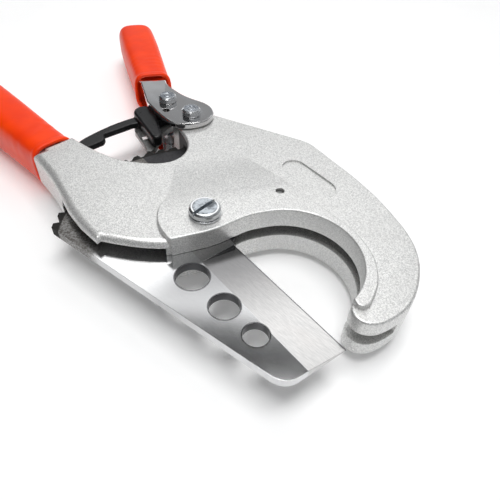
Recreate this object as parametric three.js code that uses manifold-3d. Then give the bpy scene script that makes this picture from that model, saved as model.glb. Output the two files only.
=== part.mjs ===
// Ratcheting plastic-pipe cutter for pipe up to 63 mm, lying on its side.
// Millimetres. The blade pivot runs along Z; +X points from the handles to the jaw,
// +Y to the moving handle. `originShift` moves the finished tool so that the origin
// sits under the middle of its bounding box.
import * as THREE from 'three';
import { mergeVertices } from 'three/addons/utils/BufferGeometryUtils.js';
import Module from 'manifold-3d';

const wasm = await Module();
wasm.setup();

// ---- driving dimensions ----
const gap = 0.3; // running clearance between touching pieces
const originShift = [62.65, -38.582, 3.2];

const bodyTop = 27.1; // casting faces, with the raised pads standing proud of them
const bodyLow = 3.6;
const padTop = 30;
const padLow = 0.7;
const edgeRound = 1.4; // rounding of the casting's edges
const railRound = 4.4; // rounding of the fixed handle's outer edge
const padRound = 0.8;
const slotLow = 12; // slot that the blade runs in
const slotTop = 18.9;

const bladeLow = 13.8;
const bladeTop = 18.6;
const toothTipRadius = 77;
const toothRootRadius = 74.3;
const toothPitch = 6; // degrees
const firstTooth = 114;
const lastTooth = 222;
const hubRadius = 15.8;
const edgeStart = [14.6, 4.9]; // ends of the cutting edge
const edgeEnd = [92.4, -5.4];

const throatCentre = [49.5, 8.5];
const throatRadius = 33.4;
const slotRadius = 79; // clears the ratchet teeth and the heel
const jawSlotRadius = 94.4; // clears the blade tip

const handlePivot = [-73.5, 57.3];
const pawlPivot = [-95.8, 56.9];
const handleTurn = 150.5; // direction of the moving handle, degrees
const plateTop = 31.3; // outer faces of the moving handle's channel
const plateLow = -1.3;
const plateThickness = 3;
const channelWidth = 17;
const channelStart = [-103.9, 46.4]; // inner edge of the channel where it turns straight
const channelLength = 130;
const webStart = 14; // along the handle, where the channel's back begins
const jogStart = 26; // along the handle, where the channel narrows for the grip
const jogEnd = 40;
const jogDepth = 6.2;
const gripStart = 42;
const gripLength = 98;

const collarX = -105.7; // step where the fixed grip starts
const tangEnd = -219;
const gripEndX = -227;
const tangY = [-31, -10.6];
const tangZ = [5.2, 24.8];

const runOutStart = [-11.6, -10.5]; // where the pad faces start to roll down
const runOutTurn = 152.2;
const runOutLength = 45;

const stopPin = [13.8, 41.4];
const anchorPin = [-6.5, -18];
const holdPivot = [-86.5, -15];

// ---- helpers ----
const rad = THREE.MathUtils.degToRad;
const v2 = (x, y) => new THREE.Vector2(x, y);

function polar(radius, degrees, [cx, cy] = [0, 0]) {
  return v2(cx + radius * Math.cos(rad(degrees)), cy + radius * Math.sin(rad(degrees)));
}

function toSolid(geometry) {
  const bare = geometry.index ? geometry.toNonIndexed() : geometry.clone();
  bare.deleteAttribute('normal');
  bare.deleteAttribute('uv');
  const welded = mergeVertices(bare, 1e-4);
  return new wasm.Manifold(new wasm.Mesh({
    numProp: 3,
    vertProperties: new Float32Array(welded.attributes.position.array),
    triVerts: new Uint32Array(welded.index.array),
  }));
}

function toGeometry(solid) {
  const mesh = solid.getMesh();
  const geometry = new THREE.BufferGeometry();
  const positions = new Float32Array(mesh.numVert * 3);
  for (let i = 0; i < mesh.numVert; i += 1) {
    for (let axis = 0; axis < 3; axis += 1) {
      positions[i * 3 + axis] = mesh.vertProperties[i * mesh.numProp + axis];
    }
  }
  geometry.setAttribute('position', new THREE.BufferAttribute(positions, 3));
  geometry.setIndex(new THREE.BufferAttribute(new Uint32Array(mesh.triVerts), 1));
  geometry.computeVertexNormals();
  return geometry;
}

const join = (...solids) => solids.reduce((whole, next) => whole.add(next));
const cut = (solid, ...tools) => tools.reduce((rest, tool) => rest.subtract(tool), solid);

// a smooth run through a few points
function bend(points, steps) {
  return new THREE.SplineCurve(points.map(([x, y]) => v2(x, y))).getPoints(steps);
}

// part of a circle, from one angle to another in degrees
function arc([cx, cy], radius, from, to, steps) {
  const points = [];
  for (let i = 0; i <= steps; i += 1) {
    points.push(polar(radius, from + (to - from) * (i / steps), [cx, cy]));
  }
  return points;
}

// closed outline from runs of points, without doubled neighbours
function outline(...runs) {
  const all = runs.flat().map((p) => (Array.isArray(p) ? v2(...p) : p));
  const kept = all.filter((p, i) => i === 0 || p.distanceTo(all[i - 1]) > 0.05);
  if (kept[0].distanceTo(kept[kept.length - 1]) < 0.05) kept.pop();
  return new THREE.Shape(kept);
}

function slab(shape, low, high, bevel = 0, bevelSteps = 1) {
  const geometry = new THREE.ExtrudeGeometry(shape, {
    depth: high - low - 2 * bevel,
    steps: 1,
    curveSegments: 1,
    bevelEnabled: bevel > 0,
    bevelThickness: bevel,
    bevelSize: bevel,
    bevelOffset: -bevel,
    bevelSegments: bevelSteps,
  });
  geometry.translate(0, 0, low + bevel);
  return toSolid(geometry);
}

function disc([x, y], radius, low, high, sides = 32) {
  const geometry = new THREE.CylinderGeometry(radius, radius, high - low, sides);
  geometry.rotateX(Math.PI / 2);
  geometry.translate(x, y, (low + high) / 2);
  return toSolid(geometry);
}

function block([x0, x1], [y0, y1], [z0, z1]) {
  const geometry = new THREE.BoxGeometry(x1 - x0, y1 - y0, z1 - z0);
  geometry.translate((x0 + x1) / 2, (y0 + y1) / 2, (z0 + z1) / 2);
  return toSolid(geometry);
}

// turned solid about a vertical axis; profile is [radius, height] pairs, closed on the axis
function turned([x, y], profile, sides = 32) {
  const geometry = new THREE.LatheGeometry(profile.map(([r, z]) => v2(r, z)), sides);
  geometry.rotateX(Math.PI / 2);
  geometry.translate(x, y, 0);
  return toSolid(geometry);
}

const ring = (centre, inner, outer, low, high, sides = 32) => (
  cut(disc(centre, outer, low, high, sides), disc(centre, inner, low - 1, high + 1, sides)));

// coil spring about a vertical axis, with a straight leg leaving each end
function coilSpring({ centre, radius, wire, low, turns, from, legIn, legOut }) {
  const points = [];
  const stepsPerTurn = 14;
  const steps = Math.round(turns * stepsPerTurn);
  const pitch = wire * 2 + 0.25;
  points.push(new THREE.Vector3(...legIn, low + wire));
  for (let i = 0; i <= steps; i += 1) {
    const p = polar(radius, from + (i / stepsPerTurn) * 360, centre);
    points.push(new THREE.Vector3(p.x, p.y, low + wire + (i / stepsPerTurn) * pitch));
  }
  points.push(new THREE.Vector3(...legOut, low + wire + turns * pitch));
  const path = new THREE.CatmullRomCurve3(points, false, 'centripetal');
  const section = new THREE.Shape(arc([0, 0], wire, 0, 315, 7));
  return toSolid(new THREE.ExtrudeGeometry(section, {
    steps: steps + 10, bevelEnabled: false, extrudePath: path, curveSegments: 1,
  }));
}

const finishes = {
  paintedCasting: { color: 0xb9bab8, roughness: 0.55, metalness: 0.6 },
  orangeVinyl: { color: 0xe8461c, roughness: 0.35, metalness: 0 },
  polishedSteel: { color: 0xd7d8da, roughness: 0.15, metalness: 1 },
  groundSteel: { color: 0xbfc2c5, roughness: 0.3, metalness: 1 },
  zincSteel: { color: 0xc3cad0, roughness: 0.28, metalness: 1 },
  darkSteel: { color: 0x6d6f70, roughness: 0.45, metalness: 1 },
  springSteel: { color: 0x9a9c9e, roughness: 0.35, metalness: 1 },
  bronze: { color: 0xa87b45, roughness: 0.4, metalness: 1 },
  blackNylon: { color: 0x17181a, roughness: 0.45, metalness: 0 },
  whiteNylon: { color: 0xe4e2d8, roughness: 0.5, metalness: 0 },
};

const tool = new THREE.Group();

function addPiece(name, solid, finish) {
  const mesh = new THREE.Mesh(toGeometry(solid), new THREE.MeshStandardMaterial(finishes[finish]));
  mesh.name = name;
  tool.add(mesh);
}

// ---- body casting ----
const throatWall = [
  ...arc(throatCentre, throatRadius, 1, 150, 22),
  ...bend([[20, 24.2], [15.6, 15.5], [13.4, 5.8], [10.3, -6.2], [1.9, -23.6]], 9),
];

const jawNose = bend([[102, 26], [101.6, 20.5], [100.4, 14.6], [98.5, 9.4], [96.2, 6.1],
  [93.5, 4.1], [90.6, 3.3], [87.6, 3.6], [85.2, 5], [83.6, 7], throatWall[0].toArray()], 20);

const backCorner = new THREE.QuadraticBezierCurve(v2(-12, 92.3), v2(-6.5, 94.2), v2(-1, 92.7));
const backEdge = [
  ...bend([[-71, 45], [-82, 48.6], [-86.4, 58], [-80.5, 67], [-67.7, 72.8]], 14),
  ...backCorner.getPoints(5),
  ...bend([[1, 92.3], [16.8, 88.9], [32.4, 85.4], [51.3, 79.6], [70.9, 70.6], [79, 65.7],
    [85.9, 60.2], [92.8, 51.8], [97.7, 42.4], [100.7, 33.4], [102, 26]], 30),
];

const windowEdge = bend([[collarX, -8.2], [-87.5, -6], [-70.8, -1.5], [-61.9, 3.9], [-54, 10.4],
  [-49.3, 17.5], [-48.2, 24], [-49.8, 30.5], [-53.2, 35.6], [-57.5, 39.2], [-64.6, 42.8],
  [-71, 45]], 26);

const flangeEdge = bend([[-24.6, -44.6], [-15, -38.6], [-6, -31.8], [0.6, -25.2]], 6);
const handleEdge = bend([[collarX, -33.6], [-85, -36.4], [-68, -40.4], [-52, -44.9],
  [-38, -46.9]], 8);

function mainSlab() {
  // the lower edge stays inside the rounded rail, which carries the outer edge
  const shape = outline(windowEdge, backEdge, jawNose, throatWall,
    [[-8, -22], [-30, -34], [-60, -34], [-80, -28.5], [collarX, -26]]);
  return slab(shape, bodyLow, bodyTop, edgeRound, 3);
}

function roundedRail() {
  const shape = outline(handleEdge, [[-24.2, -47]], flangeEdge,
    [[4, -14], [-12, 2], [-50, -8], [collarX, -16]]);
  return slab(shape, bodyLow, bodyTop, railRound, 6);
}

function padSlab() {
  const bandEdge = bend([[89.6, 12.5], [86.4, 23.5], [80.3, 32.4], [73.5, 38.4], [64.1, 43.2],
    [54.9, 45.7], [35, 47.7], [4.9, 50.9], [-15, 52.6], [-31, 54]], 18);
  const shape = outline(bandEdge.slice().reverse(), [[89.3, 10.2], [87.9, 8.2], [85.6, 7.7]], throatWall,
    arc([0, 0], 23.7, 274.5, 190, 9), [[-46.4, 22]]);
  const pad = slab(shape, padLow, padTop, padRound, 2);
  // both pad faces roll down into the casting faces towards the handles
  const profile = [];
  const profileSteps = 8;
  for (let i = 0; i <= profileSteps; i += 1) {
    const t = i / profileSteps;
    const height = bodyTop + (padTop - bodyTop) * 0.5 * (1 + Math.cos(Math.PI * t));
    profile.push(v2(runOutLength * t, height));
  }
  const reach = 80; // well past the pad on every side
  const above = outline(profile, [[reach, bodyTop], [reach, reach], [0, reach]]);
  const runOut = new THREE.ExtrudeGeometry(above, {
    depth: 2 * reach, steps: 1, bevelEnabled: false,
  });
  runOut.rotateX(Math.PI / 2);
  runOut.translate(0, reach, 0);
  runOut.rotateZ(rad(runOutTurn));
  runOut.translate(...runOutStart, 0);
  const upper = toSolid(runOut);
  return cut(pad, upper, upper.mirror([0, 0, 1]).translate([0, 0, padTop + padLow]));
}

function bladeSlot() {
  const jawFan = outline([[0, 0]], arc([0, 0], jawSlotRadius, -30, 52.5, 24));
  const toothRoom = disc([0, 0], slotRadius, slotLow, slotTop, 72);
  const jawRoom = slab(jawFan, slotLow, slotTop);
  const noseGap = block([80, 112], [-12, 20], [slotLow, slotTop]);
  const earGap = disc(handlePivot, 10.4, slotLow, slotTop, 28);
  const earMouth = block([-92, -78], [47.6, 68.4], [slotLow, slotTop]);
  const handlePocket = block([-92, -62], [-25.5, 4], [slotLow, slotTop]);
  return join(toothRoom, jawRoom, noseGap, earGap, earMouth, handlePocket);
}

function flangeHollow() {
  const shape = outline([[-64, -56], [-64, -40], [-46, -33], [-30, -22], [-22, -12], [-2, -12],
    [-1.6, -22], [-0.4, -24.4], [4, -34], [-10, -50]]);
  const side = slab(shape, slotTop - 0.2, bodyTop - 3.6);
  return join(side, side.mirror([0, 0, 1]).translate([0, 0, slotLow + slotTop]));
}

function longRecess(z0, z1) {
  const shape = outline(arc([11.5, 0], 7, -90, 90, 10), arc([-11.5, 0], 7, 90, 270, 10));
  return slab(shape, z0, z1).rotate([0, 0, -7.5]).translate([14.8, 65.4, 0]);
}

function bodyCasting() {
  const tang = block([tangEnd, collarX + 5], tangY, tangZ);
  const metal = join(mainSlab(), roundedRail(), padSlab(), tang);
  const latchPocket = block([-107.5, -88], [-27, 4], [slotTop - 1, 23.3]);
  const springRoom = join(disc([0, 0], 9.8, slotTop - 1, 23.9, 32),
    block([-12, 2.2], [-17, 0], [slotTop - 1, 23.9]));
  const springBoss = ring([0, 0], 5.4, 7, slotTop + gap, 24.4, 24);
  const body = cut(metal, bladeSlot(), flangeHollow(), latchPocket, springRoom,
    longRecess(bodyTop - 1, bodyTop + 9), longRecess(bodyLow - 9, bodyLow + 1),
    disc([0, 0], 5.4, -5, 40, 24), disc([0, 0], 10.4, -5, 6.3, 32),
    disc(stopPin, 2.4, -5, 40, 16), disc(anchorPin, 1.8, 10, 25.4, 12),
    disc(handlePivot, 4.3, -5, 40, 24), disc(holdPivot, 1.8, 8, 23, 12));
  return join(body, springBoss);
}

// ---- blade ----
function bladeTeeth() {
  const points = [];
  for (let tip = lastTooth + 0.6; tip > firstTooth - 1; tip -= toothPitch) {
    points.push(polar(toothTipRadius, tip));
    points.push(polar(toothRootRadius, tip - 0.7));
    points.push(polar(toothRootRadius, tip - 2));
    points.push(polar(toothTipRadius - 0.4, tip - toothPitch + 2));
  }
  return points;
}

function blade() {
  const heel = polar(toothTipRadius, 224.9);
  const corner = new THREE.QuadraticBezierCurve(v2(86.6, -30.8), v2(85.2, -36.6), v2(78.6, -38));
  const shape = outline([edgeStart, edgeEnd], corner.getPoints(6), [heel], bladeTeeth(),
    [polar(60, 110), polar(24, 104)], arc([0, 0], hubRadius, 92, 20, 10));
  const plate = slab(shape, bladeLow, bladeTop);

  const edgeTurn = THREE.MathUtils.radToDeg(
    Math.atan2(edgeEnd[1] - edgeStart[1], edgeEnd[0] - edgeStart[0]),
  );
  const grindWidth = 20.9;
  const land = 0.25; // half the thickness left at the cutting edge
  const middle = (bladeLow + bladeTop) / 2;
  const rise = (bladeTop - middle - land) / grindWidth;
  const grind = new THREE.ExtrudeGeometry(new THREE.Shape([
    v2(-grindWidth, bladeTop), v2(6, middle + land - 6 * rise), v2(6, bladeTop + 4),
    v2(-grindWidth, bladeTop + 4),
  ]), { depth: 90, bevelEnabled: false, steps: 1 });
  grind.rotateX(Math.PI / 2); // section in X-Z, running back along -Y
  grind.rotateZ(Math.PI / 2); // section in Y-Z, running along +X
  const above = toSolid(grind).translate([3, 0, 0]).rotate([0, 0, edgeTurn])
    .translate([...edgeStart, 0]);
  const below = above.mirror([0, 0, 1]).translate([0, 0, 2 * middle]);
  return cut(plate, above, below, disc([0, 0], 8, 0, 30, 32), disc([18.5, -25.6], 8.3, 0, 30, 32),
    disc([41.2, -27], 7.3, 0, 30, 32), disc([61.2, -28.1], 6, 0, 30, 32));
}

// ---- blade pivot ----
const screwHeadTop = 35;
function pivotScrew() {
  const seat = padTop + 1.5;
  const shank = turned([0, 0], [[0, 1], [4.2, 1], [4.2, 6.2], [5, 7], [5, seat],
    [7.7, seat], [7.9, seat + 0.3], [7.9, screwHeadTop - 1], [7, screwHeadTop - 0.1],
    [6.2, screwHeadTop - 0.1], [6, screwHeadTop], [0, screwHeadTop]], 48);
  const slot = block([-0.9, 0.9], [-9, 9], [screwHeadTop - 1.7, screwHeadTop + 2]);
  return cut(shank, slot.rotate([0, 0, 2]));
}

function pivotNut() {
  return cut(disc([0, 0], 9.2, 0.8, 5.8, 6), disc([0, 0], 4.6, 0, 7, 24));
}

// ---- moving handle ----
const alongHandle = (solid) => solid.rotate([0, 0, handleTurn])
  .translate([...channelStart, 0]);

// side view of the channel: `inset` shrinks it evenly; x runs along the handle
function channelSide(inset, far) {
  const top = plateTop - inset;
  const drop = jogDepth;
  const shape = new THREE.Shape([
    v2(-70, plateLow + inset), v2(jogStart, plateLow + inset),
    v2(jogEnd, plateLow + inset + drop), v2(far, plateLow + inset + drop),
    v2(far, top - drop), v2(jogEnd, top - drop), v2(jogStart, top), v2(-70, top),
  ]);
  const geometry = new THREE.ExtrudeGeometry(shape, { depth: 160, bevelEnabled: false, steps: 1 });
  geometry.rotateX(Math.PI / 2);
  geometry.translate(0, 80, 0);
  return toSolid(geometry);
}

const plateOutline = () => {
  const across = polar(channelWidth, handleTurn - 90);
  const outer = (along) => {
    const p = polar(along, handleTurn, channelStart);
    return [p.x + across.x, p.y + across.y];
  };
  const inner = polar(channelLength, handleTurn, channelStart);
  return outline(
    bend([channelStart, [-92.8, 43.9], [-79.5, 41.8], [-71.9, 42.5], [-66.3, 46.6],
      [-62.4, 54.3], [-61.7, 60.3], [-64.6, 68], [-70.7, 72.3], [-78, 73.1], [-87, 70.9],
      [-95, 69.6], [-102.5, 69.9], outer(20), outer(30)], 34),
    [outer(channelLength)],
    [inner],
  );
};

function movingHandle() {
  const solid = slab(plateOutline(), plateLow, plateTop, 0.6, 1)
    .intersect(alongHandle(channelSide(0, 130)));
  const mouth = block([webStart - 1, 150], [-(channelWidth - plateThickness), 20], [-20, 50]);
  const bay = block([-70, webStart], [-60, 40], [-20, 50]);
  const room = alongHandle(join(mouth, bay).intersect(channelSide(plateThickness, 200)));
  return cut(solid, room, disc(handlePivot, 4.3, -9, 40, 24), disc(pawlPivot, 3.3, -9, 40, 20),
    disc([-87.2, 48.4], 2.3, 20, 40, 14));
}

// rounded grip core: a capsule along +X squared off by `square`, swelling towards its end
function gripForm({ length, height, width, swell, square, sides, rings }) {
  const geometry = new THREE.CapsuleGeometry(0.5, length - 1, 6, sides, rings);
  geometry.rotateZ(-Math.PI / 2);
  const position = geometry.attributes.position;
  const power = (n) => Math.sign(n) * Math.abs(n) ** square;
  for (let i = 0; i < position.count; i += 1) {
    const x = position.getX(i) + length / 2;
    const round = Math.hypot(position.getY(i), position.getZ(i)) / 0.5;
    const turn = Math.atan2(position.getZ(i), position.getY(i));
    const t = THREE.MathUtils.clamp(x / length, 0, 1);
    const size = 1 + swell * Math.sin(t * Math.PI * 0.85) ** 2;
    position.setY(i, (width / 2) * size * round * power(Math.cos(turn)));
    position.setZ(i, (height / 2) * size * round * power(Math.sin(turn)));
    const endRound = 7;
    if (x < 0.5) position.setX(i, x * endRound * 2);
    else if (x > length - 0.5) position.setX(i, length - (length - x) * endRound * 2);
    else position.setX(i, THREE.MathUtils.mapLinear(x, 0.5, length - 0.5, endRound, length - endRound));
  }
  return toSolid(geometry);
}

function movingGrip() {
  const form = gripForm({ length: gripLength + 14, height: 27, width: 26.4, swell: 0.1,
    square: 0.6, sides: 28, rings: 9 });
  const centreZ = (plateTop + plateLow) / 2;
  const front = block([-40, 0], [-40, 40], [-40, 40]);
  const sleeve = cut(form.translate([-14, 0, 0]), front).translate([gripStart, -channelWidth / 2, centreZ]);
  const core = block([gripStart - 5, channelLength + gap], [-channelWidth - gap, gap],
    [plateLow + jogDepth - gap, plateTop - jogDepth + gap]);
  return alongHandle(cut(sleeve, core));
}

function fixedGrip() {
  const length = collarX - gripEndX;
  const form = gripForm({ length: length + 14, height: 27.4, width: 26.4, swell: 0.09,
    square: 0.6, sides: 28, rings: 9 });
  const front = block([-40, 0], [-40, 40], [-40, 40]);
  const centreY = (tangY[0] + tangY[1]) / 2;
  const sleeve = cut(form.translate([-14, 0, 0]), front).rotate([0, 0, 180])
    .translate([collarX - gap, centreY, 15]);
  const core = block([tangEnd - gap, collarX + 5], [tangY[0] - gap, tangY[1] + gap],
    [tangZ[0] - gap, tangZ[1] + gap]);
  return cut(sleeve, core);
}

// ---- rivets, pins and spacers ----
// the lower head is formed flat; the upper one stands tall with a chamfer and a ringed face
function headedRivet(centre, shankRadius, headRadius) {
  const low = plateLow - gap;
  const high = plateTop + gap;
  const top = high + 3.6;
  return turned(centre, [[0, low - 1.6], [headRadius - 0.8, low - 1.6], [headRadius, low - 0.8],
    [headRadius, low], [shankRadius, low], [shankRadius, high], [headRadius, high],
    [headRadius, top - 0.9], [headRadius - 0.9, top], [2.7, top], [2.5, top - 0.2],
    [2.2, top - 0.2], [2, top], [0, top]], 36);
}

// ---- pawls and latch ----
const pawlLow = 14.2;
const pawlTop = 18.3;
function drivePawl() {
  const nose = polar(toothTipRadius + 1.3, 161.6);
  const shape = outline(arc(pawlPivot, 7.2, 20, 190, 12), [[-103.4, 44], [-101.4, 32.6]],
    [[-98.6, 30.8], [-84, 26.2]], [[nose.x - 1.6, nose.y - 2.2], nose.toArray()],
    [[-75, 28.6], [-85, 42]]);
  const plate = slab(shape, pawlLow, pawlTop, 0.4, 1);
  const hole = block([-4.6, 4.6], [-2.1, 2.1], [0, 40]).rotate([0, 0, -21]).translate([-90.6, 32, 0]);
  return cut(plate, disc(pawlPivot, 3.3, 0, 40, 20), hole);
}

const latchLow = 18.9;
const latchTop = 26.4;
const armTop = 22.8;
function lockLatch() {
  const arm = outline(
    bend([[-103.5, 42], [-106.2, 36], [-107.9, 19.2], [-106.5, 0], [-104.4, -7], [-103, -14]], 10),
    [[-98.6, -14.4], [-96.9, -6], [-96.3, 6.2], [-98.2, 8.8], [-101.9, 10.7]],
    bend([[-101.9, 12], [-100.8, 21.5], [-99.5, 32.4], [-96, 38]], 5),
  );
  const thumb = outline(arc([-102.7, 42.8], 7, 70, 250, 10), arc([-76.6, 31.2], 3.5, 250, 430, 8));
  const hub = join(disc(pawlPivot, 7, latchLow, latchTop, 24),
    slab(outline([[-103, 57], [-106, 44], [-90, 40], [-89.4, 56]]), latchLow, latchTop - 2));
  const pad = slab(thumb, latchLow, latchTop, 1.6, 3);
  return cut(join(slab(arm, latchLow, armTop, 0.5, 1), pad, hub),
    disc(pawlPivot, 3.3, 0, 40, 20));
}

function holdingPawl() {
  const nose = polar(toothTipRadius + 1.4, 196);
  const shape = outline(arc(holdPivot, 3.4, 60, 240, 8), [[nose.x - 1.2, nose.y - 1.6]],
    [nose.toArray()], [[nose.x - 0.9, nose.y + 3]]);
  return cut(slab(shape, pawlLow, pawlTop, 0.3, 1), disc(holdPivot, 1.8, 0, 40, 14));
}

// ---- assembly ----
addPiece('body_casting', bodyCasting(), 'paintedCasting');
addPiece('fixed_handle_grip', fixedGrip(), 'orangeVinyl');
addPiece('blade', blade(), 'groundSteel');
addPiece('blade_pivot_screw', pivotScrew(), 'zincSteel');
addPiece('screw_washer', ring([0, 0], 5.3, 8.2, padTop + gap, padTop + 1.2, 36), 'zincSteel');
addPiece('blade_pivot_nut', pivotNut(), 'zincSteel');
addPiece('blade_bush', ring([0, 0], 5.3, 7.7, slotLow + gap, bladeTop, 28), 'bronze');
addPiece('thrust_washer', ring([0, 0], 8, 13, slotLow + gap, bladeLow - gap, 28), 'bronze');
addPiece('blade_return_spring', coilSpring({ centre: [0, 0], radius: 8.4, wire: 0.7,
  low: slotTop + 0.2, turns: 1.7, from: 285, legIn: [-4, -18.6], legOut: [-10.5, -31] }),
'springSteel');
addPiece('spring_anchor_pin', disc(anchorPin, 1.5, slotTop + gap, 25.1, 12), 'zincSteel');
addPiece('stop_pin', disc(stopPin, 2, 1.5, padTop - 1.4, 18), 'darkSteel');
addPiece('moving_handle', movingHandle(), 'polishedSteel');
addPiece('moving_handle_grip', movingGrip(), 'orangeVinyl');
addPiece('handle_pivot_rivet', headedRivet(handlePivot, 4, 5.7), 'zincSteel');
addPiece('handle_washer_top', ring(handlePivot, 4.4, 9, bodyTop + gap, plateTop - 3.3, 24),
  'whiteNylon');
addPiece('handle_washer_bottom', ring(handlePivot, 4.4, 9, plateLow + 3.3, bodyLow - gap, 24),
  'whiteNylon');
addPiece('handle_return_spring', coilSpring({ centre: handlePivot, radius: 6.8, wire: 0.7,
  low: slotLow + 0.4, turns: 2.3, from: 330, legIn: [-71.4, 49.6], legOut: [-88.5, 66.6] }),
'springSteel');
addPiece('pawl_rivet', headedRivet(pawlPivot, 3, 5.6), 'zincSteel');
addPiece('pawl_spacer_low', ring(pawlPivot, 3.3, 5.6, plateLow + 3.3, 8.6, 20), 'zincSteel');
addPiece('pawl_spacer_high', ring(pawlPivot, 3.3, 5.6, latchTop + gap, plateTop - 3.3, 20),
  'zincSteel');
addPiece('drive_pawl', drivePawl(), 'darkSteel');
addPiece('drive_pawl_spring', coilSpring({ centre: pawlPivot, radius: 5.2, wire: 0.6,
  low: 9.2, turns: 2.4, from: 40, legIn: [-104.5, 62], legOut: [-98.5, 47] }), 'springSteel');
addPiece('lock_latch', lockLatch(), 'blackNylon');
addPiece('holding_pawl', holdingPawl(), 'darkSteel');
addPiece('holding_pawl_pin', disc(holdPivot, 1.5, 8.3, 22.6, 12), 'zincSteel');

tool.position.set(...originShift);
export default tool;
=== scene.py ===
import math

import bmesh
import bpy
from mathutils import Matrix, Quaternion, Vector


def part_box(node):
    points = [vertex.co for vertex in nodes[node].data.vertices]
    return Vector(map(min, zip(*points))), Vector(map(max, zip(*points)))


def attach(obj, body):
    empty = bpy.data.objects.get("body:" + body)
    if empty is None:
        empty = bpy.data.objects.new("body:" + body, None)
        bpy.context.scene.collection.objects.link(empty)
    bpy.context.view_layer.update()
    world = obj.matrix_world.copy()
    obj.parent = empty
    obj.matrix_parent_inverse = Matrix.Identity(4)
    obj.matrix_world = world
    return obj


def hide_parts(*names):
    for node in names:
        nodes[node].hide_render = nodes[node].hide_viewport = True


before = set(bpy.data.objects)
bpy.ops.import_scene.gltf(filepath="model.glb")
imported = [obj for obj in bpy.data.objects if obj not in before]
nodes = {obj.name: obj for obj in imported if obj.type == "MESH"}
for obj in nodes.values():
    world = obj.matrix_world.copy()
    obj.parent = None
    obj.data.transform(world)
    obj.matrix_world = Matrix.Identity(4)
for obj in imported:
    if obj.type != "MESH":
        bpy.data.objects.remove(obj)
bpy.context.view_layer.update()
mm = 0.001
print("frame loaded")


def middle(node):
    low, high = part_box(node)
    return (low + high) / 2


pivot = middle("blade_pivot_screw")
handlePivot = middle("handle_pivot_rivet")
pawlPivot = middle("pawl_rivet")


# ---- shader sums ----
class Wire:
    # a shader socket that sums are written with

    def __init__(self, tree, socket=None):
        self.tree = tree
        self.socket = socket

    def node(self, kind, settings=None, sockets=None, out=0):
        made = self.tree.nodes.new(kind)
        for key, value in (settings or {}).items():
            if key == "stops":
                ramp = made.color_ramp.elements
                while len(ramp) < len(value):
                    ramp.new(0.5)
                for stop, (place, colour) in zip(ramp, value):
                    stop.position = place
                    stop.color = (*colour, 1)
            else:
                setattr(made, key, value)
        for key, value in (sockets or {}).items():
            if isinstance(value, Wire):
                self.tree.links.new(value.socket, made.inputs[key])
            else:
                made.inputs[key].default_value = value
        return Wire(self.tree, made.outputs[out])

    def maths(self, operation, first, second=0.0):
        return self.node("ShaderNodeMath", {"operation": operation}, {0: first, 1: second})

    def __add__(self, other):
        return self.maths("ADD", self, other)

    def __radd__(self, other):
        return self.maths("ADD", other, self)

    def __sub__(self, other):
        return self.maths("SUBTRACT", self, other)

    def __rsub__(self, other):
        return self.maths("SUBTRACT", other, self)

    def __mul__(self, other):
        return self.maths("MULTIPLY", self, other)

    def __rmul__(self, other):
        return self.maths("MULTIPLY", other, self)

    def above(self, low, high):
        # 0 below low and 1 above high; low may be the larger
        return self.node("ShaderNodeMapRange", {"interpolation_type": "SMOOTHSTEP"},
                         {"Value": self, "From Min": low, "From Max": high})

    def tint(self, first, second):
        # this wire chooses between two colours
        ends = {}
        for key, colour in ((6, first), (7, second)):
            ends[key] = colour if isinstance(colour, Wire) else (*colour, 1)
        return self.node("ShaderNodeMix", {"data_type": "RGBA"}, {0: self, **ends}, out=2)

    def noise(self, scale, detail=2.0, roughness=0.5):
        return self.node("ShaderNodeTexNoise", None, {"Vector": self, "Scale": scale,
                         "Detail": detail, "Roughness": roughness})

    def stretched(self, turn, scale):
        return self.node("ShaderNodeMapping", None,
                         {"Vector": self, "Rotation": turn, "Scale": scale})

    def reach(self, centre):
        # distance from an upright line through the centre
        away = self.node("ShaderNodeVectorMath", {"operation": "SUBTRACT"}, {0: self, 1: centre})
        flat = self.node("ShaderNodeVectorMath", {"operation": "MULTIPLY"}, {0: away, 1: (1, 1, 0)})
        return self.node("ShaderNodeVectorMath", {"operation": "LENGTH"}, {0: flat}, out="Value")

    def along(self, start, direction):
        # how far past the start, in one direction
        away = self.node("ShaderNodeVectorMath", {"operation": "SUBTRACT"}, {0: self, 1: start})
        return self.node("ShaderNodeVectorMath", {"operation": "DOT_PRODUCT"},
                         {0: away, 1: direction}, out="Value")

    def grains(self, scale):
        # one random level for each small cell
        cells = self.node("ShaderNodeTexVoronoi", None, {"Vector": self, "Scale": scale},
                          out="Color")
        return self.node("ShaderNodeSeparateColor", None, {"Color": cells})

    def relief(self, strength, depth, edge=0.0):
        # a bump from this height; `edge` rounds the piece's own sharp edges
        sockets = {"Height": self, "Strength": strength, "Distance": depth}
        if edge:
            sockets["Normal"] = self.node("ShaderNodeBevel", {"samples": 4}, {"Radius": edge})
        return self.node("ShaderNodeBump", None, sockets)


def finish(name, surface, fixed):
    material = bpy.data.materials.new(name)
    material.use_nodes = True
    tree = material.node_tree
    shader = tree.nodes["Principled BSDF"]
    place = Wire(tree).node("ShaderNodeTexCoord", out="Object")
    for key, value in fixed.items():
        shader.inputs[key].default_value = value
    for key, wire in surface(place).items():
        tree.links.new(wire.socket, shader.inputs[key])
    return material


# ---- finishes ----
sandPaint = {"light": (0.88, 0.88, 0.865), "dark": (0.52, 0.52, 0.515), "grain": 1900,
             "throat": (0.0495, 0.0085), "throatRadius": 0.0334,
             "window": (-0.067, 0.024), "windowReach": 0.0215, "faceHeight": 0.0285}


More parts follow.
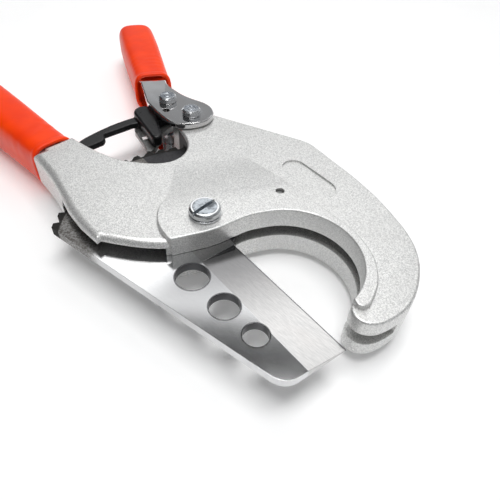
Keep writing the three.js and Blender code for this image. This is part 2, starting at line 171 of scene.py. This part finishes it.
def sandPaintSurface(place):
    look = sandPaint
    coarse = place.noise(look["grain"], 3, 0.6)
    fine = place.noise(look["grain"] * 2.7, 1)
    flake = place.grains(look["grain"] * 1.4)
    cloud = place.noise(40, 3)
    tone = coarse * 0.55 + fine * 0.2 + flake * 0.25
    throat = Vector((pivot.x + look["throat"][0], pivot.y + look["throat"][1], 0))
    wall = place.reach(throat).above(look["throatRadius"] + 0.5 * mm, look["throatRadius"] + 0.1 * mm)
    colour = tone.above(0.36, 0.64).tint(look["dark"], look["light"])
    colour = (cloud.above(0.35, 0.7) * 0.16).tint(colour, (0.6, 0.595, 0.58))
    colour = (wall * 0.35).tint(colour, (0.62, 0.625, 0.62))
    # painted shade: inside the window, below the top face, the walls are painted near black where shade
    # falls
    window = Vector((pivot.x + look["window"][0], pivot.y + look["window"][1], 0))
    inside = place.reach(window).above(look["windowReach"] + 1 * mm, look["windowReach"])
    height = place.along((0, 0, 0), (0, 0, 1))
    inside = inside * height.above(look["faceHeight"], look["faceHeight"] - 1 * mm)
    colour = (inside * 0.94).tint(colour, (0.015, 0.014, 0.013))
    rough = 0.33 + 0.14 * coarse + 0.08 * wall
    sand = coarse * 0.6 + fine * 0.25 + flake * 0.15
    return {"Base Color": colour, "Roughness": rough,
            "Normal": sand.relief(0.55, 0.1 * mm, edge=0.35 * mm)}


vinyl = {"light": (1.0, 0.06, 0.002), "deep": (0.88, 0.042, 0.003)}


def vinylSurface(place):
    blotch = place.noise(60, 3)
    skin = place.noise(900, 2)
    fold = place.stretched((0, 0, 0.3), (1, 0.35, 0.35)).noise(190, 2, 0.4)
    colour = blotch.above(0.3, 0.75).tint(vinyl["deep"], vinyl["light"])
    return {"Base Color": colour, "Roughness": 0.27 + 0.14 * blotch + 0.05 * skin,
            "Normal": (skin * 0.12 + fold * 0.9).relief(0.35, 0.35 * mm)}


def chromeSurface(place):
    smear = place.noise(55, 3)
    hair = place.stretched((0.0, 0.0, 0.5), (1, 14, 1)).noise(260, 2)
    wave = place.noise(38, 1)
    colour = smear.above(0.3, 0.7).tint((0.78, 0.765, 0.76), (0.86, 0.86, 0.87))
    return {"Base Color": colour, "Roughness": 0.04 + 0.06 * smear.above(0.45, 0.75) + 0.03 * hair,
            "Normal": (wave * 0.8 + hair * 0.04).relief(0.16, 0.5 * mm, edge=0.3 * mm)}


bladeSteel = {"brushTurn": 2.5, "toothRadius": 0.0735, "edge": (0.0146, 0.0049),
              "inward": (-0.1312, -0.9913, 0), "groundWidth": 0.0209,
              "holes": [(0.0185, -0.0256, 0.0083), (0.0412, -0.027, 0.0073), (0.0612, -0.0281, 0.006)]}


def bladeSurface(place):
    look = bladeSteel
    brush = place.stretched((0, 0, look["brushTurn"]), (1, 12, 1)).noise(230, 4, 0.65)
    smear = place.noise(45, 3)
    spots = place.noise(900, 2, 0.7)
    grit = place.noise(1500, 2)
    left = place.along(pivot, (-1, 0, 0)).above(0.018, 0.03)
    out = place.reach(pivot)
    teeth = out.above(look["toothRadius"] - 1 * mm, look["toothRadius"]) * left
    # the heel, far out to the left of the pivot: partly real grime, partly a painted dark reflection of
    # the casting's underside
    grimeAndDarkReflection = out.above(0.044, 0.056) * left * (0.7 + 0.3 * spots.above(0.35, 0.62))
    heel = Vector((pivot.x + look["edge"][0], pivot.y + look["edge"][1], 0))
    ground = place.along(heel, look["inward"]).above(look["groundWidth"], look["groundWidth"] - 0.2 * mm)
    streak = brush.above(0.3, 0.7)
    colour = streak.tint((0.64, 0.645, 0.65), (0.71, 0.71, 0.715))
    colour = (ground * 0.8).tint(colour, streak.tint((0.42, 0.415, 0.41), (0.56, 0.55, 0.54)))
    colour = (smear.above(0.55, 0.8) * 0.2).tint(colour, (0.58, 0.54, 0.52))
    colour = (grimeAndDarkReflection * 0.9).tint(colour, (0.075, 0.066, 0.055))
    # painted shade: a dark line along the cutting edge
    edgeShade = place.along(heel, look["inward"]).above(0.7 * mm, 0.3 * mm)
    # painted shade and dark reflection of the casting, on the blade to the right of the pivot
    paintedCastingShade = out.above(0.07, 0.022) * place.along(pivot, (1, 0, 0)).above(0.004, 0.02)
    colour = (paintedCastingShade * 0.75).tint(colour, (0.1, 0.1, 0.105))
    colour = (edgeShade * 0.9).tint(colour, (0.05, 0.05, 0.055))
    for x, y, radius in look["holes"]:
        away = place.reach(Vector((pivot.x + x, pivot.y + y, 0)))
        # painted shade: a dark ring on the face round each hole's edge
        rim = away.above(radius + 0.7 * mm, radius + 0.3 * mm)
        colour = (rim * 0.85).tint(colour, (0.06, 0.06, 0.065))
    colour = teeth.tint(colour, grit.tint((0.02, 0.02, 0.02), (0.07, 0.068, 0.064)))
    rough = 0.08 + 0.05 * brush + 0.04 * smear + 0.06 * ground + 0.3 * grimeAndDarkReflection + 0.34 * teeth
    height = brush * 0.16 + grit * (grimeAndDarkReflection * 0.6 + teeth * 0.9)
    return {"Base Color": colour, "Roughness": rough,
            "Normal": height.relief(0.12, 0.12 * mm, edge=0.25 * mm)}


rivetZinc = {"face": 4.4 * mm, "dark": (0.42, 0.45, 0.5), "light": (0.72, 0.75, 0.79)}
screwZinc = {"face": 5.9 * mm, "dark": (0.1, 0.11, 0.12), "light": (0.42, 0.45, 0.48)}


def turnedSurface(centres, look):
    # bright zinc with fine lathe rings about the nearest of the centres
    def surface(place):
        away = place.reach(centres[0])
        for centre in centres[1:]:
            away = place.maths("MINIMUM", away, place.reach(centre))
        rings = place.maths("SINE", away * 7000)
        speck = place.noise(800, 3, 0.6)
        cloud = place.noise(230, 3, 0.6)
        colour = cloud.above(0.35, 0.65).tint(look["dark"], look["light"])
        rim = away.above(look["face"], look["face"] + 0.4 * mm)
        colour = (rim * 0.8).tint(colour, (0.78, 0.79, 0.8))
        turning = rings * 0.05 + speck * 0.25 + cloud * 0.5
        return {"Base Color": colour, "Roughness": 0.12 + 0.06 * speck + 0.12 * cloud,
                "Normal": turning.relief(0.2, 0.08 * mm, edge=0.25 * mm)}
    return surface


def darkSteelSurface(place):
    scale = place.noise(700, 4, 0.65)
    cloud = place.noise(90, 2)
    colour = (scale * 0.6 + cloud * 0.4).above(0.3, 0.7).tint((0.13, 0.13, 0.13), (0.34, 0.34, 0.335))
    return {"Base Color": colour, "Roughness": 0.28 + 0.25 * scale,
            "Normal": scale.relief(0.4, 0.12 * mm, edge=0.3 * mm)}


def springSurface(place):
    draw = place.noise(1200, 3)
    colour = draw.tint((0.3, 0.3, 0.31), (0.55, 0.55, 0.56))
    return {"Base Color": colour, "Roughness": 0.2 + 0.25 * draw,
            "Normal": draw.relief(0.2, 0.05 * mm)}


def bronzeSurface(place):
    pores = place.noise(1400, 3, 0.7)
    colour = pores.tint((0.36, 0.2, 0.08), (0.62, 0.4, 0.18))
    return {"Base Color": colour, "Roughness": 0.3 + 0.3 * pores,
            "Normal": pores.relief(0.4, 0.06 * mm, edge=0.2 * mm)}


def nylonSurface(dark, light, rough):
    def surface(place):
        skin = place.noise(1300, 3, 0.6)
        flow = place.noise(110, 3)
        colour = (skin * 0.5 + flow * 0.5).above(0.3, 0.7).tint(dark, light)
        return {"Base Color": colour, "Roughness": rough + 0.14 * flow,
                "Normal": (skin * 0.4 + flow * 0.6).relief(0.25, 0.08 * mm, edge=0.25 * mm)}
    return surface


metal = {"Metallic": 1.0}
finishes = {
    "sandPaint": finish("sandPaint", sandPaintSurface, {"Metallic": 0.65}),
    "vinyl": finish("vinyl", vinylSurface, {"Coat Weight": 0.06, "Coat Roughness": 0.1,
                                              "Specular IOR Level": 0.2}),
    "chrome": finish("chrome", chromeSurface, metal),
    "blade": finish("bladeSteel", bladeSurface, metal),
    "zinc": finish("brightZinc", turnedSurface([handlePivot, pawlPivot], rivetZinc), metal),
    "screwZinc": finish("screwZinc", turnedSurface([pivot], screwZinc), metal),
    "darkSteel": finish("darkSteel", darkSteelSurface, {"Metallic": 0.9}),
    "spring": finish("springWire", springSurface, metal),
    "bronze": finish("oiledBronze", bronzeSurface, metal),
    "blackNylon": finish("blackNylon", nylonSurface((0.004, 0.004, 0.0045), (0.011, 0.011, 0.012), 0.22),
                         {"Specular IOR Level": 0.3}),
    "whiteNylon": finish("whiteNylon", nylonSurface((0.66, 0.64, 0.58), (0.78, 0.77, 0.72), 0.42), {}),
}
print("finishes made")


# ---- helpers for pieces ----
def newPiece(name, shape, body, stands, look):
    mesh = bpy.data.meshes.new(name)
    shape.to_mesh(mesh)
    shape.free()
    piece = bpy.data.objects.new(name, mesh)
    bpy.context.scene.collection.objects.link(piece)
    mesh.materials.append(finishes[look])
    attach(piece, body)
    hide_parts(*stands)
    return piece


def softenEdges(shape, sharpAngle):
    # smooth faces, with a crisp edge wherever two faces meet more steeply than the angle
    for face in shape.faces:
        face.smooth = True
    for edge in shape.edges:
        edge.smooth = len(edge.link_faces) == 2 and edge.calc_face_angle(0) < math.radians(sharpAngle)


def mergedCopy(node):
    # the CAD solid as one closed shape, its flat stretches cleared of inner edges
    shape = bmesh.new()
    shape.from_mesh(nodes[node].data)
    bmesh.ops.remove_doubles(shape, verts=shape.verts, dist=0.002 * mm)
    bmesh.ops.dissolve_limit(shape, angle_limit=math.radians(0.4), verts=shape.verts,
                             edges=shape.edges)
    return shape


def evenNormals(piece):
    weights = piece.modifiers.new("evenNormals", "WEIGHTED_NORMAL")
    weights.keep_sharp = True
    weights.mode = "FACE_AREA"


def fromCad(node, name, body, look, sharpAngle=38, chamfer=0.0):
    shape = mergedCopy(node)
    softenEdges(shape, sharpAngle)
    piece = newPiece(name, shape, body, [node], look)
    if chamfer:
        rim = piece.modifiers.new("chamfer", "BEVEL")
        rim.width = chamfer
        rim.segments = 2
        rim.limit_method = "ANGLE"
        rim.angle_limit = math.radians(sharpAngle)
    evenNormals(piece)
    return piece


def roundWire(node, name, body, look):
    # a spring: the CAD sweep, rounded by subdivision
    shape = mergedCopy(node)
    softenEdges(shape, 180)
    piece = newPiece(name, shape, body, [node], look)
    rounding = piece.modifiers.new("rounding", "SUBSURF")
    rounding.levels = 1
    rounding.render_levels = 1
    return piece


# ---- plain pieces, from the CAD shapes ----
fromCad("body_casting", "bodyCasting", "frame", "sandPaint", sharpAngle=50)
fromCad("blade", "cuttingBlade", "blade", "blade", sharpAngle=5)
fromCad("blade_pivot_screw", "pivotScrew", "frame", "screwZinc", sharpAngle=25)
fromCad("screw_washer", "screwWasher", "frame", "zinc", chamfer=0.2 * mm)
fromCad("blade_pivot_nut", "pivotNut", "frame", "zinc", chamfer=0.4 * mm)
fromCad("blade_bush", "bladeBush", "frame", "bronze", chamfer=0.15 * mm)
fromCad("thrust_washer", "thrustWasher", "frame", "bronze", chamfer=0.15 * mm)
fromCad("spring_anchor_pin", "springAnchorPin", "frame", "zinc", chamfer=0.2 * mm)
fromCad("stop_pin", "stopPin", "frame", "darkSteel", chamfer=0.3 * mm)
fromCad("moving_handle", "movingHandle", "handle", "chrome", sharpAngle=30)
fromCad("handle_pivot_rivet", "handlePivotRivet", "frame", "zinc", sharpAngle=25)
fromCad("handle_washer_top", "handleWasherTop", "frame", "whiteNylon", chamfer=0.2 * mm)
fromCad("handle_washer_bottom", "handleWasherBottom", "frame", "whiteNylon",
        chamfer=0.2 * mm)
fromCad("pawl_rivet", "pawlRivet", "handle", "zinc", sharpAngle=25)
fromCad("pawl_spacer_low", "pawlSpacerLow", "handle", "zinc", chamfer=0.2 * mm)
fromCad("pawl_spacer_high", "pawlSpacerHigh", "handle", "zinc", chamfer=0.2 * mm)
fromCad("drive_pawl", "drivePawl", "drive_pawl", "darkSteel")
fromCad("holding_pawl", "holdingPawl", "holding_pawl", "darkSteel")
fromCad("holding_pawl_pin", "holdingPawlPin", "frame", "zinc", chamfer=0.2 * mm)
roundWire("blade_return_spring", "bladeReturnSpring", "frame", "spring")
roundWire("handle_return_spring", "handleReturnSpring", "frame", "spring")
roundWire("drive_pawl_spring", "drivePawlSpring", "handle", "spring")
print("metal pieces made")


# ---- lock latch, a rounded moulding ----
latchMoulding = {"voxel": 0.4 * mm, "smoothing": 6}


def makeLatch():
    shape = mergedCopy("lock_latch")
    piece = newPiece("lockLatch", shape, "lock_latch", ["lock_latch"], "blackNylon")
    cells = piece.modifiers.new("cells", "REMESH")
    cells.mode = "VOXEL"
    cells.voxel_size = latchMoulding["voxel"]
    rounding = piece.modifiers.new("rounding", "SMOOTH")
    rounding.factor = 0.5
    rounding.iterations = latchMoulding["smoothing"]
    graph = bpy.context.evaluated_depsgraph_get()
    moulded = bpy.data.meshes.new_from_object(piece.evaluated_get(graph))
    piece.modifiers.clear()
    piece.data = moulded
    for face in moulded.polygons:
        face.use_smooth = True
    if not moulded.materials:
        moulded.materials.append(finishes["blackNylon"])
    return piece


makeLatch()
print("latch made")


# ---- vinyl grips ----
sleeve = {"sides": 56, "square": 0.58, "lip": 1.0, "neck": 0.965, "neckEnd": 6,
          "halfWidth": 13.4, "halfHeight": 13.9, "wall": 2.4, "swell": 0.075, "bodySteps": 30,
          "endLength": 12, "endSteps": 8, "creases": 0.3, "creaseReach": 30}


def ringMove(place, size):
    # along the sleeve, and wider or narrower across it
    return Matrix.Translation((place, 0, 0)) @ Matrix.Diagonal((1, size, size, 1))


def sleeveShape(length, mouth, direction):
    # a squarish sleeve lofted ring by ring from its rolled lip to its closed end, in millimetres
    look = sleeve
    shape = bmesh.new()
    ring = bmesh.ops.create_circle(shape, segments=look["sides"], radius=1)["verts"]
    for vert in ring:
        turn = math.atan2(vert.co.y, vert.co.x)
        across = math.copysign(abs(math.cos(turn)) ** look["square"], math.cos(turn))
        rise = math.copysign(abs(math.sin(turn)) ** look["square"], math.sin(turn))
        vert.co = (0, across * look["halfWidth"], rise * look["halfHeight"])
    inside = 1 - look["wall"] / look["halfWidth"]
    # (place along the sleeve, size): in at the mouth, over the lip and down to the neck
    stations = [(7, inside), (0.9, inside), (0.25, inside + 0.03), (0, 0.93), (0.15, 0.975),
                (0.7, look["lip"]), (2.6, look["lip"]), (3.4, 0.985), (4.4, look["neck"] + 0.004),
                (look["neckEnd"], look["neck"])]
    bodyLength = length - look["neckEnd"] - look["endLength"]
    growth = 1 + look["swell"] - look["neck"]
    for step in range(1, look["bodySteps"] + 1):
        t = step / look["bodySteps"]
        size = look["neck"] + growth * math.sin(t * math.pi * 0.62) ** 1.6
        stations.append((look["neckEnd"] + bodyLength * t, size))
    last = stations[-1][1]
    for step in range(1, look["endSteps"]):
        turn = step / look["endSteps"] * math.pi / 2
        away = look["endLength"] * (1 - math.sin(turn))
        stations.append((length - away, last * math.cos(turn) ** 0.8))
    edges = list({edge for vert in ring for edge in vert.link_edges})
    place, size = stations[0]
    bmesh.ops.transform(shape, verts=ring, matrix=ringMove(place, size))
    bmesh.ops.contextual_create(shape, geom=edges)
    for nextPlace, nextSize in stations[1:]:
        grown = bmesh.ops.extrude_edge_only(shape, edges=edges)["geom"]
        ring = [item for item in grown if isinstance(item, bmesh.types.BMVert)]
        edges = [item for item in grown if isinstance(item, bmesh.types.BMEdge)
                 and all(vert in ring for vert in item.verts)]
        step = ringMove(nextPlace, nextSize / size) @ Matrix.Translation((-place, 0, 0))
        bmesh.ops.transform(shape, verts=ring, matrix=step)
        place, size = nextPlace, nextSize
    bmesh.ops.contextual_create(shape, geom=edges)
    bmesh.ops.recalc_face_normals(shape, faces=shape.faces)
    for vert in shape.verts:  # shallow creases behind the lip
        away = vert.co.x - look["neckEnd"]
        if 0 < away < look["creaseReach"]:
            fade = math.sin(math.pi * away / look["creaseReach"])
            turn = math.atan2(vert.co.z, vert.co.y)
            crease = math.sin(away * 1.15 + 2.2 * math.sin(turn)) * math.sin(turn * 2 + 0.6)
            outward = Vector((0, vert.co.y, vert.co.z)).normalized()
            vert.co += outward * (crease * fade * look["creases"])
    turned = Vector((1, 0, 0)).rotation_difference(direction).to_matrix().to_4x4()
    if abs(turned.to_3x3().col[2].z) < 0.99:
        turned = Matrix.Rotation(math.pi, 4, "Z")
    bmesh.ops.transform(shape, verts=shape.verts,
                        matrix=Matrix.Translation(mouth) @ turned @ Matrix.Scale(mm, 4))
    softenEdges(shape, 70)
    return shape


# the moving handle from the pivot, and the vinyl tongue that reaches under its plate
movingHandle = {"turn": math.radians(150.5), "start": (-0.1032, 0.0477), "width": 0.017,
                "gripStart": 0.042, "gripLength": 0.098,
                "tongue": (0.032, 0.0028, 0.0135), "tongueAhead": 0.013, "tongueIn": 0.002}


def makeGrips():
    low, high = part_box("fixed_handle_grip")
    mouth = Vector((high.x, (low.y + high.y) / 2, (low.z + high.z) / 2))
    shape = sleeveShape((high.x - low.x) / mm, mouth, Vector((-1, 0, 0)))
    fixed = newPiece("fixedGrip", shape, "frame", ["fixed_handle_grip"], "vinyl")
    handle = movingHandle
    direction = Vector((math.cos(handle["turn"]), math.sin(handle["turn"]), 0))
    side = Vector((direction.y, -direction.x, 0))
    start = Vector((pivot.x + handle["start"][0], pivot.y + handle["start"][1], mouth.z))
    mouth = start + direction * handle["gripStart"] + side * handle["width"] / 2
    shape = sleeveShape(handle["gripLength"] / mm, mouth, direction)
    tongue = bmesh.ops.create_cube(shape, size=1)["verts"]
    tongueStart = handle["gripStart"] - handle["tongueAhead"]
    tongueCentre = start + direction * tongueStart + side * handle["tongueIn"]
    lie = Matrix.Translation(tongueCentre) @ Matrix.Rotation(handle["turn"], 4, "Z")
    bmesh.ops.transform(shape, verts=tongue, matrix=lie @ Matrix.Diagonal((*handle["tongue"], 1)))
    moving = newPiece("movingGrip", shape, "handle", ["moving_handle_grip"], "vinyl")
    for piece in (fixed, moving):
        rounding = piece.modifiers.new("rounding", "SUBSURF")
        rounding.levels = 1
        rounding.render_levels = 1


makeGrips()
print("grips made")

# ---- table, light and camera ----
table = {"size": 6.0, "dark": (0.9, 0.9, 0.9), "light": (0.93, 0.93, 0.93), "glow": 0.12}


def makeTable():
    shape = bmesh.new()
    bmesh.ops.create_grid(shape, x_segments=1, y_segments=1, size=table["size"])
    mesh = bpy.data.meshes.new("tableTop")
    shape.to_mesh(mesh)
    shape.free()
    floor = bpy.data.objects.new("tableTop", mesh)
    bpy.context.scene.collection.objects.link(floor)

    def surface(place):
        paper = place.noise(30, 2)
        return {"Base Color": paper.tint(table["dark"], table["light"]),
                "Roughness": 0.5 + 0.1 * paper}

    glow = {"Emission Color": (1, 1, 1, 1), "Emission Strength": table["glow"]}
    mesh.materials.append(finish("paleTable", surface, glow))


lights = {
    # name: where it stands, width and height, watts
    "backSoftbox": ((-0.59, 0.745, 1.04), (1.36, 0.56), 3.4),
    "skyPanel": ((0.1, 0.0, 1.5), (1.2, 0.7), 19),
}
# brightness of the studio by height: 0 is level with the table and 1 straight overhead
studio = {"darkSide": (-0.55, -0.83, 0.0),
          "levels": [(0.0, 0.45), (0.37, 0.45), (0.5, 0.3), (0.58, 0.2), (0.72, 0.3), (0.8, 0.3),
                     (0.85, 0.04), (0.94, 0.04), (0.975, 0.24)]}


def makeLights():
    for name, (place, size, watts) in lights.items():
        lamp = bpy.data.lights.new(name, "AREA")
        lamp.shape = "RECTANGLE"
        lamp.size = size[0]
        lamp.size_y = size[1]
        lamp.energy = watts
        holder = bpy.data.objects.new(name, lamp)
        holder.location = place
        holder.rotation_euler = (-Vector(place)).to_track_quat("-Z", "Y").to_euler()
        bpy.context.scene.collection.objects.link(holder)
    world = bpy.data.worlds.new("studio")
    world.use_nodes = True
    background = world.node_tree.nodes["Background"]
    skyward = Wire(world.node_tree).node("ShaderNodeTexCoord")
    high = skyward.along((0, 0, 0), (0, 0, 1))
    dark = skyward.along((0, 0, 0), studio["darkSide"]).above(0.1, 0.6)
    stops = [(place, (grey, grey, grey)) for place, grey in studio["levels"]]
    level = high.node("ShaderNodeValToRGB", {"stops": stops}, {0: high})
    level = level * (1 - 0.85 * dark * high.above(0.8, 0.6))
    world.node_tree.links.new(level.socket, background.inputs["Strength"])
    background.inputs["Color"].default_value = (0.96, 0.98, 1, 1)
    bpy.context.scene.world = world
    bpy.context.scene.view_settings.view_transform = "Standard"


camera = {"fromPivot": (0.1278, -0.1175), "height": 0.1882, "ahead": (-0.4423, 0.5357, -0.7193),
          "roll": 4.8, "lens": 33.55}


def makeCamera():
    data = bpy.data.cameras.new("camera")
    data.lens = camera["lens"]
    data.clip_start = 0.01
    holder = bpy.data.objects.new("camera", data)
    level = Vector(camera["ahead"]).to_track_quat("-Z", "Y")
    holder.rotation_euler = (level @ Quaternion((0, 0, 1), math.radians(camera["roll"]))).to_euler()
    across, deep = camera["fromPivot"]
    holder.location = (pivot.x + across, pivot.y + deep, camera["height"])
    bpy.context.scene.collection.objects.link(holder)
    bpy.context.scene.camera = holder


makeTable()
makeLights()
makeCamera()
print("table, lights and camera made")
